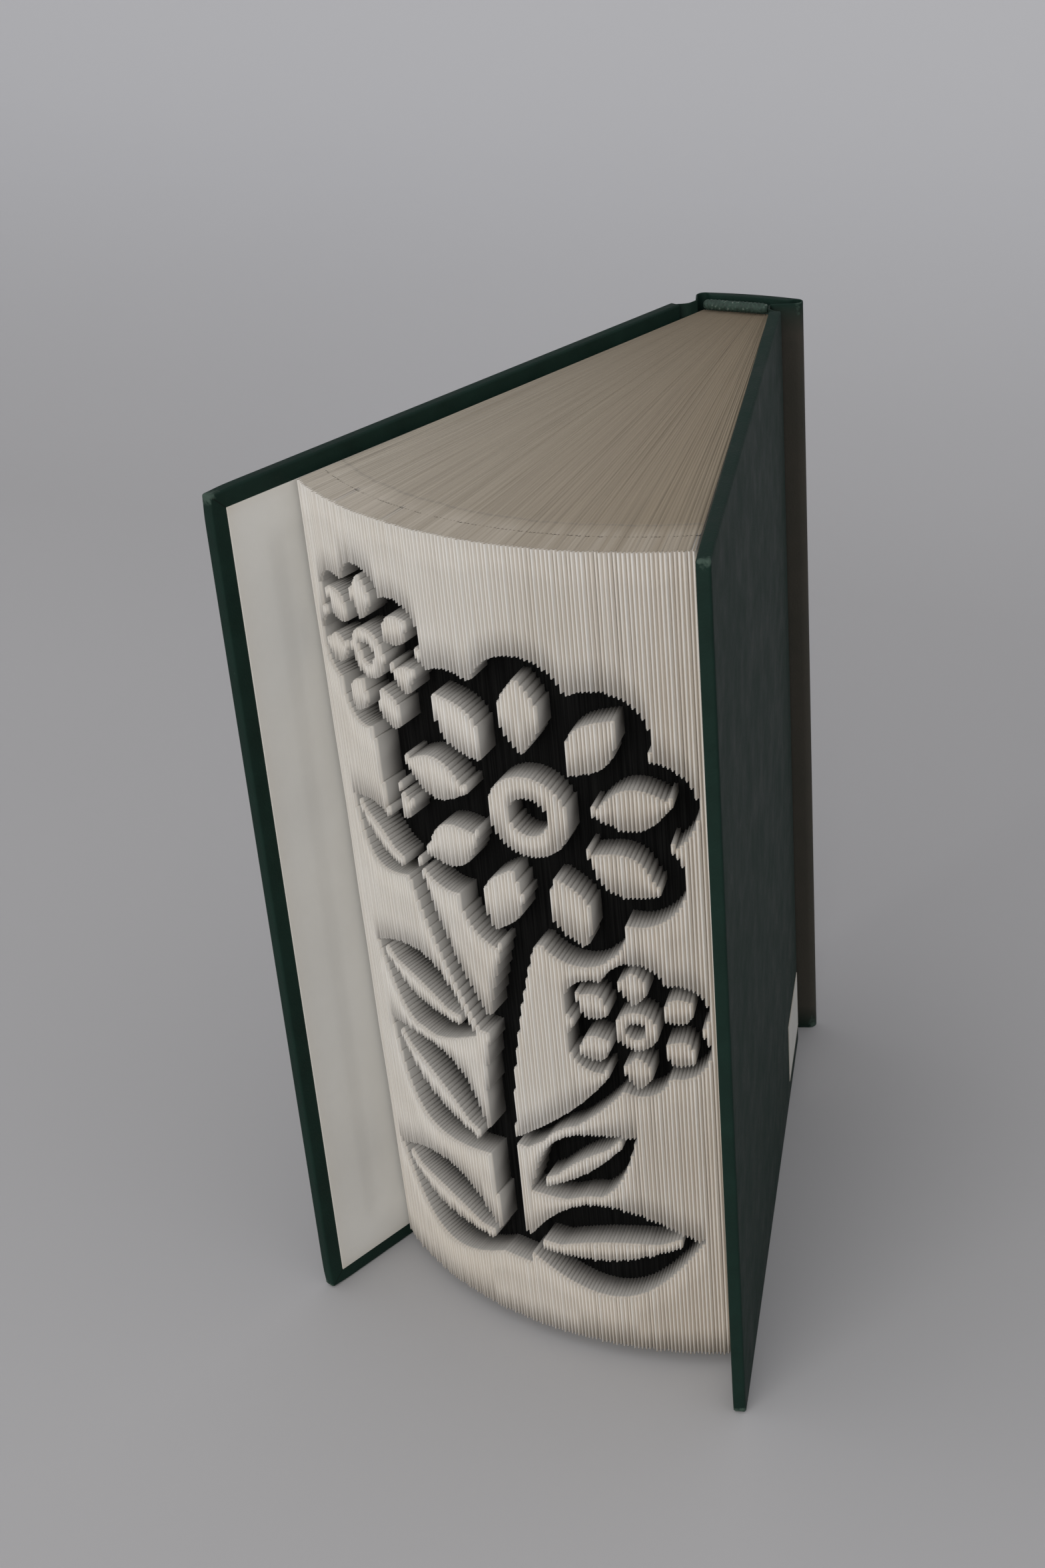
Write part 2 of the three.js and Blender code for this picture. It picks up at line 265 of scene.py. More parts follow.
def stripeGroup():
    # one random tone for each leaf across the fan, drifting slowly along the leaf
    group, entry, leave = newGroup("leafStripes", [
        ("Place", "NodeSocketFloat", 0.0), ("Along", "NodeSocketFloat", 0.0),
        ("Leaves", "NodeSocketFloat", 2.0), ("Drift", "NodeSocketFloat", 0.02)],
        [("Tone", "NodeSocketFloat"), ("Broad", "NodeSocketFloat")])
    fine = math2(group, "MULTIPLY", entry.outputs["Place"], entry.outputs["Leaves"])
    slow = math2(group, "MULTIPLY", entry.outputs["Along"], entry.outputs["Drift"])
    fineAt = addNode(group, "ShaderNodeCombineXYZ", {"X": fine, "Y": slow})
    broadAt = addNode(group, "ShaderNodeCombineXYZ", {
        "X": math2(group, "MULTIPLY", entry.outputs["Place"], grain["broadShare"]), "Y": slow})
    fineNoise = addNode(group, "ShaderNodeTexNoise", {"Vector": fineAt.outputs[0], "Scale": 1.0,
                                                     "Detail": 2.0, "Roughness": 0.7})
    broadNoise = addNode(group, "ShaderNodeTexNoise", {"Vector": broadAt.outputs[0], "Scale": 1.0,
                                                      "Detail": 2.0})
    group.links.new(fineNoise.outputs["Fac"], leave.inputs["Tone"])
    group.links.new(broadNoise.outputs["Fac"], leave.inputs["Broad"])
    return group


def paperGroup():
    # soft fibres and a faint cloudiness
    group, entry, leave = newGroup("paperFibres", [
        ("Vector", "NodeSocketVector", None), ("Fibre", "NodeSocketFloat", grain["fibre"])],
        [("Height", "NodeSocketFloat"), ("Cloud", "NodeSocketFloat")])
    fibre = addNode(group, "ShaderNodeTexNoise", {"Vector": entry.outputs["Vector"],
                                                 "Scale": entry.outputs["Fibre"], "Detail": 3.0})
    cloud = addNode(group, "ShaderNodeTexNoise", {"Vector": entry.outputs["Vector"],
                                                 "Scale": grain["cloud"], "Detail": 4.0,
                                                 "Roughness": 0.6})
    group.links.new(fibre.outputs["Fac"], leave.inputs["Height"])
    group.links.new(cloud.outputs["Fac"], leave.inputs["Cloud"])
    return group


groups = {"cloth": clothGroup(), "rub": rubGroup(), "stripes": stripeGroup(), "paper": paperGroup()}


def useGroup(tree, name, inputs):
    node = tree.nodes.new("ShaderNodeGroup")
    node.node_tree = groups[name]
    for label, value in inputs.items():
        feed(tree, node.inputs[label], value)
    return node


def newMaterial(name):
    material = bpy.data.materials.new(name)
    material.use_nodes = True
    tree = material.node_tree
    shader = tree.nodes["Principled BSDF"]
    where = tree.nodes.new("ShaderNodeTexCoord").outputs["Object"]
    return material, tree, shader, where


def readMark(tree, name):
    node = addNode(tree, "ShaderNodeAttribute", attribute_name=name, attribute_type="GEOMETRY")
    return node.outputs["Fac"]


def finishShader(tree, shader, colour, roughness, height, distance, strength):
    # height drives the bump, distance in metres
    tree.links.new(colour, shader.inputs["Base Color"])
    tree.links.new(roughness, shader.inputs["Roughness"])
    bump = addNode(tree, "ShaderNodeBump", {"Height": height, "Distance": distance,
                                           "Strength": strength})
    tree.links.new(bump.outputs["Normal"], shader.inputs["Normal"])


clothLook = {"green": (0.0072, 0.0225, 0.0165, 1), "deep": (0.0045, 0.0150, 0.0108, 1),
             "rubbed": (0.055, 0.085, 0.068, 1), "sunned": (0.052, 0.047, 0.038, 1),
             "mitre": (0.003, 0.005, 0.004, 1), "mitreDepth": 0.75, "rubDepth": 0.8, "rough": 0.6,
             "bump": 0.00012, "specular": 0.12}


def clothMaterial(name, sunned=False):
    material, tree, shader, where = newMaterial(name)
    weave = useGroup(tree, "cloth", {"Vector": where})
    rub = useGroup(tree, "rub", {"Vector": where, "Rub": readMark(tree, "rub")})
    colour = mixColour(tree, spread(tree, weave.outputs["Tone"], 0.3, 0.7), clothLook["deep"],
                       clothLook["green"])
    mitre = math2(tree, "ABSOLUTE", readMark(tree, "mitre"))
    colour = mixColour(tree, spread(tree, mitre, 0.28, 0.08, 0.0, clothLook["mitreDepth"]), colour,
                       clothLook["mitre"])
    if sunned:
        faded = math2(tree, "MULTIPLY", readMark(tree, "sun"),
                      spread(tree, weave.outputs["Tone"], 0.2, 0.6, 0.75, 1.0))
        colour = mixColour(tree, faded, colour, clothLook["sunned"])
    colour = mixColour(tree, math2(tree, "MULTIPLY", rub.outputs["Mask"], clothLook["rubDepth"]),
                       colour, clothLook["rubbed"])
    roughness = spread(tree, weave.outputs["Tone"], 0.3, 0.7, clothLook["rough"] - 0.08,
                       clothLook["rough"] + 0.1)
    finishShader(tree, shader, colour, roughness, weave.outputs["Height"], clothLook["bump"], 0.45)
    shader.inputs["Specular IOR Level"].default_value = clothLook["specular"]
    return material


leafLook = {
    "cream": (0.615, 0.585, 0.537, 1), "white": (0.69, 0.67, 0.635, 1),
    # wall: painted shade, the grey given to the walls of the sunk picture
    "tan": (0.50, 0.40, 0.285, 1), "wall": (0.35, 0.337, 0.315, 1),
    "agedShare": 0.45, "gapShare": 0.6, "foldBump": 0.00004,
    # the head colours towards the spine and towards the back cover's side are aged browning plus
    # painted shade
    "head": (0.47, 0.425, 0.355, 1), "headSpineBrownAndShade": (0.22, 0.18, 0.128, 1),
    "headSideBrownAndShade": (0.27, 0.215, 0.145, 1), "headLine": (0.16, 0.13, 0.095, 1),
    "headRim": (0.62, 0.56, 0.48, 1), "headBump": 0.00025,
    "ink": (0.002, 0.002, 0.002, 1), "inkPale": (0.009, 0.009, 0.0085, 1), "inkBump": 0.0002,
    "inkSpecular": 0.06, "pencil": (0.17, 0.155, 0.14, 1), "pencilDepth": 13.6, "pencilWander": 1.6,
}


def foldMaterial():
    # folded fore edge: pale crests, aged tan in the gaps, more of it towards the back cover, painted
    # shade on the walls of the sunk picture
    material, tree, shader, where = newMaterial("foldedLeaves")
    place, depth, height = [readMark(tree, name) for name in ("place", "depth", "height")]
    stripes = useGroup(tree, "stripes", {"Place": place, "Along": height, "Leaves": 2.6,
                                         "Drift": 0.006})
    paper = useGroup(tree, "paper", {"Vector": where})
    colour = mixColour(tree, spread(tree, paper.outputs["Cloud"], 0.3, 0.7), leafLook["cream"],
                       leafLook["white"])
    toBack = spread(tree, place, 22, 56, 0.25, 0.75)
    aged = math2(tree, "MULTIPLY", spread(tree, stripes.outputs["Tone"], 0.48, 0.68), toBack)
    gap = math2(tree, "MULTIPLY", spread(tree, depth, 0.25, 0.85), toBack)
    shade = math2(tree, "MAXIMUM", math2(tree, "MULTIPLY", aged, leafLook["agedShare"]),
                  math2(tree, "MULTIPLY", gap, leafLook["gapShare"]))
    colour = mixColour(tree, shade, colour, leafLook["tan"])
    low = spread(tree, height, 70, 5, 0.0, 0.22)
    colour = mixColour(tree, low, colour, leafLook["tan"])
    # painted shade: the walls of the sunk picture turn grey deeper than about a millimetre behind
    # the fore edge
    wall = spread(tree, depth, 0.95, 1.5, 0.0, 0.9)
    colour = mixColour(tree, wall, colour, leafLook["wall"])
    finishShader(tree, shader, colour, spread(tree, paper.outputs["Cloud"], 0.2, 0.8, 0.82, 0.95),
                 paper.outputs["Height"], leafLook["foldBump"], 0.3)
    return material


def edgeMaterial():
    # cut edges of the leaves at head and tail: fine radial lines, browner and darker towards the
    # spine and towards the back cover, aged paper with painted shade
    material, tree, shader, where = newMaterial("leafEdges")
    place, depth, along = [readMark(tree, name) for name in ("place", "depth", "along")]
    stripes = useGroup(tree, "stripes", {"Place": place, "Along": along, "Leaves": 3.1,
                                         "Drift": 0.02})
    coarse = useGroup(tree, "stripes", {"Place": place, "Along": along, "Leaves": 0.9,
                                        "Drift": 0.01})
    paper = useGroup(tree, "paper", {"Vector": where})
    # browner and darker towards the spine and towards the back cover: aged paper plus painted shade
    colour = mixColour(tree, spread(tree, along, 140, 5), leafLook["head"], leafLook["headSpineBrownAndShade"])
    colour = mixColour(tree, spread(tree, place, 2, 50, 0.0, 0.85), colour, leafLook["headSideBrownAndShade"])
    fine = spread(tree, stripes.outputs["Tone"], 0.35, 0.75, 0.0, 0.5)
    colour = mixColour(tree, fine, colour, leafLook["headLine"])
    outer = math2(tree, "MULTIPLY", spread(tree, depth, 15, 9),
                  spread(tree, coarse.outputs["Tone"], 0.38, 0.66, 0.1, 0.35))
    colour = mixColour(tree, outer, colour, leafLook["headRim"])
    # a faint pencil line that wanders a little, at one depth behind the fore edge
    wander = math2(tree, "MULTIPLY", math2(tree, "SUBTRACT", coarse.outputs["Broad"], 0.5),
                   leafLook["pencilWander"])
    line = math2(tree, "ABSOLUTE", math2(tree, "SUBTRACT", math2(tree, "ADD", depth, wander),
                                         leafLook["pencilDepth"]))
    pencil = math2(tree, "MULTIPLY", spread(tree, line, 0.7, 0.1),
                   spread(tree, stripes.outputs["Tone"], 0.36, 0.58, 0.1, 0.36))
    colour = mixColour(tree, pencil, colour, leafLook["pencil"])
    finishShader(tree, shader, colour, spread(tree, paper.outputs["Cloud"], 0.2, 0.8, 0.85, 0.96),
                 stripes.outputs["Tone"], leafLook["headBump"], 0.5)
    return material


def floorMaterial():
    # blackened floor of the sunk picture, finely streaked along the leaves
    material, tree, shader, _ = newMaterial("sunkFloor")
    place, height = readMark(tree, "place"), readMark(tree, "height")
    stripes = useGroup(tree, "stripes", {"Place": place, "Along": height, "Leaves": 4.0,
                                         "Drift": 0.03})
    colour = mixColour(tree, spread(tree, stripes.outputs["Tone"], 0.4, 0.75), leafLook["ink"],
                       leafLook["inkPale"])
    finishShader(tree, shader, colour, spread(tree, stripes.outputs["Broad"], 0.3, 0.7, 0.75, 0.92),
                 stripes.outputs["Tone"], leafLook["inkBump"], 0.4)
    shader.inputs["Specular IOR Level"].default_value = leafLook["inkSpecular"]
    return material


paperLook = {
    "endpaper": ((0.71, 0.70, 0.665, 1), (0.65, 0.635, 0.595, 1)),
    "outerLeaf": ((0.60, 0.575, 0.535, 1), (0.54, 0.51, 0.46, 1)),
    "labelPaper": ((0.60, 0.60, 0.58, 1), (0.52, 0.51, 0.47, 1)),
    "kraftLining": ((0.36, 0.31, 0.24, 1), (0.29, 0.25, 0.19, 1)),
    "rubbed": (0.42, 0.36, 0.27, 1), "rubDepth": 0.5, "bump": 0.00003,
}


def paperMaterial(name):
    # a pale and a darker tone in clouds, browner where it is rubbed
    material, tree, shader, where = newMaterial(name)
    paper = useGroup(tree, "paper", {"Vector": where})
    tone = mixColour(tree, spread(tree, paper.outputs["Cloud"], 0.3, 0.75), *paperLook[name])
    tone = mixColour(tree, math2(tree, "MULTIPLY", readMark(tree, "rub"), paperLook["rubDepth"]),
                     tone, paperLook["rubbed"])
    finishShader(tree, shader, tone, spread(tree, paper.outputs["Cloud"], 0.2, 0.8, 0.8, 0.92),
                 paper.outputs["Height"], paperLook["bump"], 0.35)
    return material


threadLook = {"dark": (0.010, 0.026, 0.018, 1), "light": (0.03, 0.06, 0.045, 1),
              "worn": (0.20, 0.22, 0.19, 1), "speck": 1400.0, "turnShare": 0.12, "bump": 0.0001}


def bandMaterial():
    # woven band: dark green thread with a pale fleck where a turn has worn through
    material, tree, shader, where = newMaterial("headbandThread")
    turn = readMark(tree, "turn")
    specks = addNode(tree, "ShaderNodeTexNoise", {"Vector": where, "Scale": threadLook["speck"],
                                                "Detail": 3.0})
    colour = mixColour(tree, spread(tree, specks.outputs["Fac"], 0.35, 0.65), threadLook["dark"],
                       threadLook["light"])
    raised = math2(tree, "MULTIPLY", turn, threadLook["turnShare"])
    pale = spread(tree, math2(tree, "ADD", specks.outputs["Fac"], raised), 0.70, 0.80, 0.0, 0.6)
    colour = mixColour(tree, pale, colour, threadLook["worn"])
    finishShader(tree, shader, colour, spread(tree, specks.outputs["Fac"], 0.3, 0.7, 0.6, 0.85),
                 specks.outputs["Fac"], threadLook["bump"], 0.5)
    return material


finishes = {
    "cover": clothMaterial("coverCloth"),
    "spine": clothMaterial("spineCloth", sunned=True),
    "folds": foldMaterial(), "edges": edgeMaterial(), "floor": floorMaterial(),
    "endpaper": paperMaterial("endpaper"), "outerLeaf": paperMaterial("outerLeaf"),
    "label": paperMaterial("labelPaper"), "kraft": paperMaterial("kraftLining"),
    "thread": bandMaterial(),
}
print("book: materials made")

# the leaves: lengths in millimetres, crest, gap and nose as shares of the fan or of a fold
leaves = {
    "low": 3.5, "high": 211.5, "back": 17.4, "backDepth": 4.5, "reach": 147.5, "crest": 0.67,
    "drop": 30, "sag": 4, "clearance": 0.3, "folds": 112, "valley": 0.85, "recess": 8,
    "ridge": 0.35, "shortest": 2, "root": 1.0, "gap": 0.01, "nose": 0.52, "inset": 0.15,
    "toneSteps": 56, "reachJitter": 0.16, "endJitter": 0.04, "valleyDrop": 0.05, "tuck": 0.12,
}
foreWidth = leaves["back"] + leaves["reach"] * math.radians(
    case["splay"][-1] + case["splay"][1] - 2 * leaves["clearance"])


# the sunk picture, its marks in the same order as on the solid; the last one over a point decides
def leafMark(u, z, length, width, turn, state):
    # pointed leaf: its half width is a sine wave along its length
    cosine, sine = math.cos(math.radians(turn)), math.sin(math.radians(turn))

    def covers(pu, pz):
        along = ((pu - u) * cosine + (pz - z) * sine) / length
        aside = np.abs((pz - z) * cosine - (pu - u) * sine)
        inside = (along > 0) & (along < 1)
        return inside & (aside < width / 2 * np.sin(math.pi * np.clip(along, 0, 1)))
    return state, covers


def discMark(u, z, radius, state):
    return state, lambda pu, pz: np.hypot(pu - u, pz - z) < radius


def stemMark(u0, z0, u1, z1, bow, width, state):
    # upright band whose middle bows sideways by a sine wave
    def covers(pu, pz):
        along = (pz - z0) / (z1 - z0)
        middle = u0 + (u1 - u0) * along + bow * np.sin(math.pi * along)
        return (along > 0) & (along < 1) & (np.abs(pu - middle) < width / 2)
    return state, covers


# a sunk leaf keeps a vein standing, a sunk bloom a petal in each scallop; as shares of the whole
vein = {"start": 0.14, "length": 0.74, "width": 0.17}
petal = {"start": 0.4, "length": 0.46, "width": 0.42}


def outwards(u, z, turn, distance):
    return u + distance * math.cos(math.radians(turn)), z + distance * math.sin(math.radians(turn))


def leafWithVein(u, z, length, width, turn):
    return [leafMark(u, z, length, width, turn, True),
            leafMark(*outwards(u, z, turn, vein["start"] * length), vein["length"] * length,
                     vein["width"] * width, turn, False)]


def bloom(u, z, petals, radius, scallop, eye):
    heart = radius - scallop / 2
    turns = [90 + i * 360 / petals for i in range(petals)]
    return [
        discMark(u, z, heart, True),
        *[discMark(*outwards(u, z, turn, heart), scallop / 2, True) for turn in turns],
        *[leafMark(*outwards(u, z, turn, petal["start"] * radius), petal["length"] * radius,
                   petal["width"] * scallop, turn, False) for turn in turns],
        discMark(u, z, eye, False),
        discMark(u, z, eye / 2, True),
    ]


marks = [
    stemMark(-3, 22, 10, 128, -6, 8, True),
    stemMark(-4, 88, -28, 168, -7, 6.5, True),
    stemMark(0, 58, 33, 90, 4, 6.5, True),
    *leafWithVein(-4, 24, 45, 27, 166),
    *leafWithVein(-2, 27, 49, 28, 12),
    *leafWithVein(-6, 52, 44, 27, 146),
    *leafWithVein(3, 45, 36, 18, 38),
    *leafWithVein(-8, 86, 38, 24, 162),
    *leafWithVein(-23, 124, 26, 18, 150),
    *bloom(33, 97, 6, 18, 15, 4.8),
    *bloom(-29, 178, 7, 21, 15, 5.6),
    *bloom(12, 149, 9, 38, 23, 9.5),
]


def sunkAt(u, z):
    state = np.zeros(np.broadcast(u, z).shape, bool)
    for sunk, covers in marks:
        state = np.where(covers(u, z), sunk, state)
    return state


def reachAt(place, z):
    return leaves["reach"] - leaves["drop"] * (place - leaves["crest"]) ** 2 - leaves["sag"] * (
        1 - z / case["height"])


def onLeaf(place, length, z):
    # place 0 to 1 counts across the fan, length runs along a leaf from the back of the block
    first = leaves["clearance"] - case["splay"][-1]
    angle = np.radians(first + (case["splay"][1] - leaves["clearance"] - first) * place)
    x = middleX + leaves["back"] * (place - 0.5) + length * np.sin(angle)
    y = caseY - leaves["backDepth"] - length * np.cos(angle)
    return np.stack(np.broadcast_arrays(x, y, z), axis=-1)


def standingRuns(column):
    # heights between which this fold stands out to the fore edge
    step = 0.1
    z = np.arange(leaves["low"] + (0.5 if column % 2 else 1) * step, leaves["high"] - step, step)
    sunk = sunkAt(((column + 0.5) / leaves["folds"] - 0.5) * foreWidth, z)
    levels = [leaves["low"]]
    for height, down in zip(z, sunk):
        if down == (len(levels) % 2 == 1) and height - levels[-1] > leaves["shortest"]:
            levels.append(height)
    if len(levels) % 2:
        levels.append(leaves["high"])
    return list(zip(levels[::2], levels[1::2]))


# section of one fold from gap to gap: a narrow nose between two shallow gaps
halfNose = leaves["nose"] / 2
foldSide = np.array([leaves["gap"], 0.5 - halfNose, 0.5 - 0.7 * halfNose])
foldShare = np.concatenate([foldSide, [0.5], 1 - foldSide[::-1]])
foldFall = leaves["valley"] * np.array([1, 0.85, 0.2, 0, 0.2, 0.85, 1])
foldInset = leaves["inset"] + dice.normal(0, leaves["reachJitter"], leaves["folds"])


def noseDepth(column, z):
    # depth of the fold behind the fore edge: slow waves, different for each leaf, move it a little
    ripple = 0.08 * np.sin(z / 17 + 2.1 * column) + 0.05 * np.sin(z / 6.3 + 4.7 * column)
    return foldFall + foldInset[column] + ripple


def leafMarks(place, z, length):
    # what the materials read: leaf number, depth behind the fore edge, height, length from the back
    place, z, length = np.broadcast_arrays(place, z, length)
    return {"place": place * leaves["toneSteps"], "depth": np.maximum(reachAt(place, z) - length, 0),
            "height": z, "along": length, "rub": 0 * z}


def foldTab(column, low, high):
    # one standing stretch of a folded leaf: a closed tube that reaches below the recess's floor
    rows = max(2, int((high - low) / 8) + 2)
    z = np.linspace(low, high, rows)[:, None]
    share = np.concatenate([[leaves["gap"]], foldShare, [1 - leaves["gap"]]])
    place = (column + share) / leaves["folds"] + 0 * z
    root = np.full((rows, 1), leaves["recess"] + leaves["root"])
    length = reachAt(place, z) - np.concatenate([root, noseDepth(column, z), root], axis=1)
    points, values = onLeaf(place, length, z), leafMarks(place, z, length)
    strip = capQuads(len(share))
    patches = [(points, gridQuads(rows, len(share), closed=True), values)]
    for row, cap in ((0, strip[:, [1, 0, 3, 2]]), (rows - 1, strip)):
        patches.append((points[row], cap, {name: mark[row] for name, mark in values.items()}))
    return patches


# the pages' kinds of surface, by the finish that each takes
surfaces = ["folds", "edges", "floor", "outerLeaf"]


def makePages():
    patches, kinds = [], []

    def add(place, z, length, kind, flip=False):
        quads = gridQuads(*np.broadcast_shapes(place.shape, z.shape, length.shape))
        patches.append((onLeaf(place, length, z), quads[:, ::-1] if flip else quads,
                        leafMarks(place, z, length)))
        kinds.append(surfaces.index(kind))

    low, high, tuck = leaves["low"], leaves["high"], leaves["tuck"]
    for column in range(leaves["folds"]):
        for start, end in standingRuns(column):
            patches.extend(foldTab(column, max(start, low + tuck), min(end, high - tuck)))
            kinds.extend([surfaces.index("folds")] * 3)
    # floor of the recess with a low ridge for each leaf, and the back of the block
    z = np.linspace(low, high, 34)[:, None]
    place = np.linspace(0, 1, leaves["folds"] * 2 + 1) + 0 * z
    ridge = leaves["ridge"] * (np.arange(place.shape[1]) % 2)
    add(place, z, reachAt(place, z) - leaves["recess"] + ridge, "floor")
    add(place[:, ::8], z, 0 * place[:, ::8], "edges", True)
    # head and tail: every leaf ends at its own height, and its outer end follows its fold
    columns = np.arange(leaves["folds"])
    place = ((columns[:, None] + foldShare) / leaves["folds"]).ravel()
    place[0], place[-1] = 0, 1
    for level, way in ((high, 1), (low, -1)):
        outer = np.concatenate([noseDepth(column, level) for column in columns])
        step = dice.normal(0, leaves["endJitter"], leaves["folds"])[:, None]
        step = step - leaves["valleyDrop"] * (foldFall > leaves["valley"] / 2)
        length = np.linspace(0, 1, 12)[:, None] * (reachAt(place, level) - outer)
        add(place + 0 * length, level + way * step.ravel() + 0 * length, length, "edges", way > 0)
    # the first and the last leaf lie bare beside the covers
    for edge, column in ((0, 0), (1, leaves["folds"] - 1)):
        length = np.linspace(0, 1, 14) * (reachAt(edge, z) - noseDepth(column, z)[:, :1])
        add(edge + 0 * length, z + 0 * length, length, "outerLeaf", edge == 0)
    points, quads, values, owner = gather(patches)
    pages = makePiece("pages", points, quads, [finishes[kind] for kind in surfaces], values,
                      np.asarray(kinds)[owner], merge=0.002)
    softEdges(pages, 40)
    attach(pages, "block")
    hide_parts("text_block")
    return pages


pages = makePages()
print("book: pages folded,", len(pages.data.polygons), "faces")


# covers: a rounded slab each, thin at the spine edge, blunted at its outer corners
def slabAxis(low, high, radius, count):
    # even steps inside, then steps that turn the rounded edge by equal angles
    turns = radius * np.tan(np.radians([0, 15, 30, 45]))
    inner = np.linspace(low + radius, high - radius, count)
    return np.concatenate([low + radius - turns[:0:-1], inner, high - radius + turns[1:]])


def roundedSlab(lows, highs, radius, counts):
    # every point of a box is pulled to one radius from the nearest point of a smaller box inside
    axes = [slabAxis(a, b, radius, n) for a, b, n in zip(lows, highs, counts)]
    patches = []
    for across in range(3):
        first, second = [axis for axis in range(3) if axis != across]
        a, b = np.meshgrid(axes[first], axes[second], indexing="ij")
        for level in (lows[across], highs[across]):
            box = np.zeros(a.shape + (3,))
            box[..., first], box[..., second], box[..., across] = a, b, level
            heart = np.clip(box, np.array(lows) + radius, np.array(highs) - radius)
            away = box - heart
            point = heart + radius * away / np.linalg.norm(away, axis=-1, keepdims=True)
            patches.append((point, gridQuads(*a.shape), {}))
    return gather(patches)[:2]


# how the cloth and the endpapers lie and wear on a cover, lengths in millimetres
lie = {"fieldSink": 0.4, "paperSink": 0.3, "wave": 0.03, "cornerSpread": 14, "mitreDeep": 0.5,
       "foreFade": 1.1, "endFade": 0.9, "jointFade": 1.0, "jointShare": 0.7, "rimRub": 0.36,
       "cornerRub": 0.2, "paperRub": 0.5, "paperFade": 2.0}


def edgesAndField(along, z):
    # distance to the fore edge and to the nearer end, and 1 inside the turned-in edges
    toFore, toEnd = case["reach"] - along, np.minimum(z, case["height"] - z)
    low, high = case["turnIn"] - 1, case["turnIn"] + 1
    return toFore, toEnd, smooth(low, high, toFore) * smooth(low, high, toEnd)


def makeCover(name, side, body):
    points, quads = roundedSlab(
        (case["joint"], case["turnInFace"], 0), (case["reach"], case["clothOut"], case["height"]),
        case["edgeRound"], (90, 3, 120))
    along, out, z = points.T
    toFore, toEnd, field = edgesAndField(along, z)
    # the field between the turned-in edges lies a cloth's thickness deeper
    out = out + lie["fieldSink"] * field * (out < 0)
    # the outer corners are pushed in a little
    corner = np.exp(-(toFore ** 2 + toEnd ** 2) / lie["cornerSpread"])
    along = along - case["cornerBlunt"] * corner
    z = z + case["cornerBlunt"] * corner * np.where(z > case["height"] / 2, -1, 1)
    rim = np.exp(-toFore / lie["foreFade"]) + np.exp(-toEnd / lie["endFade"])
    rim = rim + lie["jointShare"] * np.exp(-(along - case["joint"]) / lie["jointFade"])
    rub = np.clip(lie["rimRub"] * rim + lie["cornerRub"] * corner, 0, 1)
    # the folded corner of the cloth: where both edges are equally near, on the inside only
    mitre = np.where(out < case["turnInFace"] + lie["mitreDeep"], toFore - toEnd, noMitre)
    cover = makePiece(name + "Cover", onCover(side, along, out, z), quads, finishes["cover"],
                      {"rub": rub, "mitre": mitre}, merge=0.01, turn=True)
    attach(cover, body)
    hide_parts(body.split("_")[0] + "_cloth", body.split("_")[0] + "_board")


def makePastedown(name, side, body):
    # a sheet over the turned-in edges that sinks to the board inside them
    low, high = case["border"], case["height"] - case["border"]
    points, quads = roundedSlab(
        (case["joint"] + 1, case["pasteIn"], low),
        (case["reach"] - case["border"], case["turnInFace"] + 0.06, high), 0.1, (70, 2, 90))
    along, out, z = points.T
    toFore, toEnd, field = edgesAndField(along, z)
    out = out + lie["paperSink"] * field + lie["wave"] * np.sin(along / 11 + z / 17)
    rub = lie["paperRub"] * np.exp(-(toFore - case["border"]) / lie["paperFade"])
    rub = rub + lie["paperRub"] * np.exp(-(toEnd - case["border"]) / lie["paperFade"])
    sheet = makePiece(name + "Endpaper", onCover(side, along, out, z), quads, finishes["endpaper"],
                      {"rub": np.clip(rub, 0, 1)}, merge=0.01, turn=True)
    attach(sheet, body)
    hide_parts(body.split("_")[0] + "_pastedown")


for name, side, body in (("front", -1, "front_cover"), ("back", 1, "back_cover")):
    makeCover(name, side, body)
    makePastedown(name, side, body)
print("book: covers wrapped")


# the spine and the joints: bands of cloth carried along a path in plan
spine = {"width": 28, "offset": 2.7, "crown": 0.8, "shoulder": 2.0, "thick": 2.2, "cloth": 0.45,
         "grooveAlong": 2.5, "grooveOut": -0.9, "round": 0.22, "headGap": 0.2, "capFade": 1.0,
         "capRub": 0.7, "shoulderRub": 0.35, "shoulderFade": 0.9}


def pathNormals(path):
    along = np.gradient(path, axis=0)
    along /= np.linalg.norm(along, axis=1, keepdims=True)
    return np.stack([along[:, 1], -along[:, 0]], axis=1)


def ribbon(path, thick, low, high, rounding):
    # section ring: up along the outer face from low to high, over the top, down the inner face
    inward = pathNormals(path)
    turns = np.linspace(0, math.pi / 2, 5)
    rise = np.linspace(low + rounding, high - rounding, 30)
    outerDepth = np.concatenate([rounding * (1 - np.sin(turns)), np.zeros(len(rise) - 2),
                                 rounding * (1 - np.cos(turns))])
    outerZ = np.concatenate([low + rounding * (1 - np.cos(turns)), rise[1:-1],
                             high - rounding * (1 - np.sin(turns))])
    thick = np.broadcast_to(thick, (len(path),))[:, None]
    depth = np.concatenate([outerDepth + 0 * thick, thick - outerDepth[::-1]], axis=1)
    depth = np.clip(depth, 0, thick)
    z = np.concatenate([outerZ, outerZ[::-1]])
    plan = path[:, None, :] + inward[:, None, :] * depth[..., None]
    points = np.concatenate([plan, np.broadcast_to(z[:, None], depth.shape + (1,))], axis=-1)
    count = len(z)
    quads = [gridQuads(len(path), count, closed=True)]
    for row, flip in ((0, False), (len(path) - 1, True)):
        cap = capQuads(count) + row * count
        quads.append(cap[:, ::-1] if flip else cap)
    return points.reshape(-1, 3), np.concatenate(quads), depth, np.broadcast_to(z, depth.shape)


def coverPlan(side, along, out):
    return onCover(side, along, out, 0.0)[..., :2]


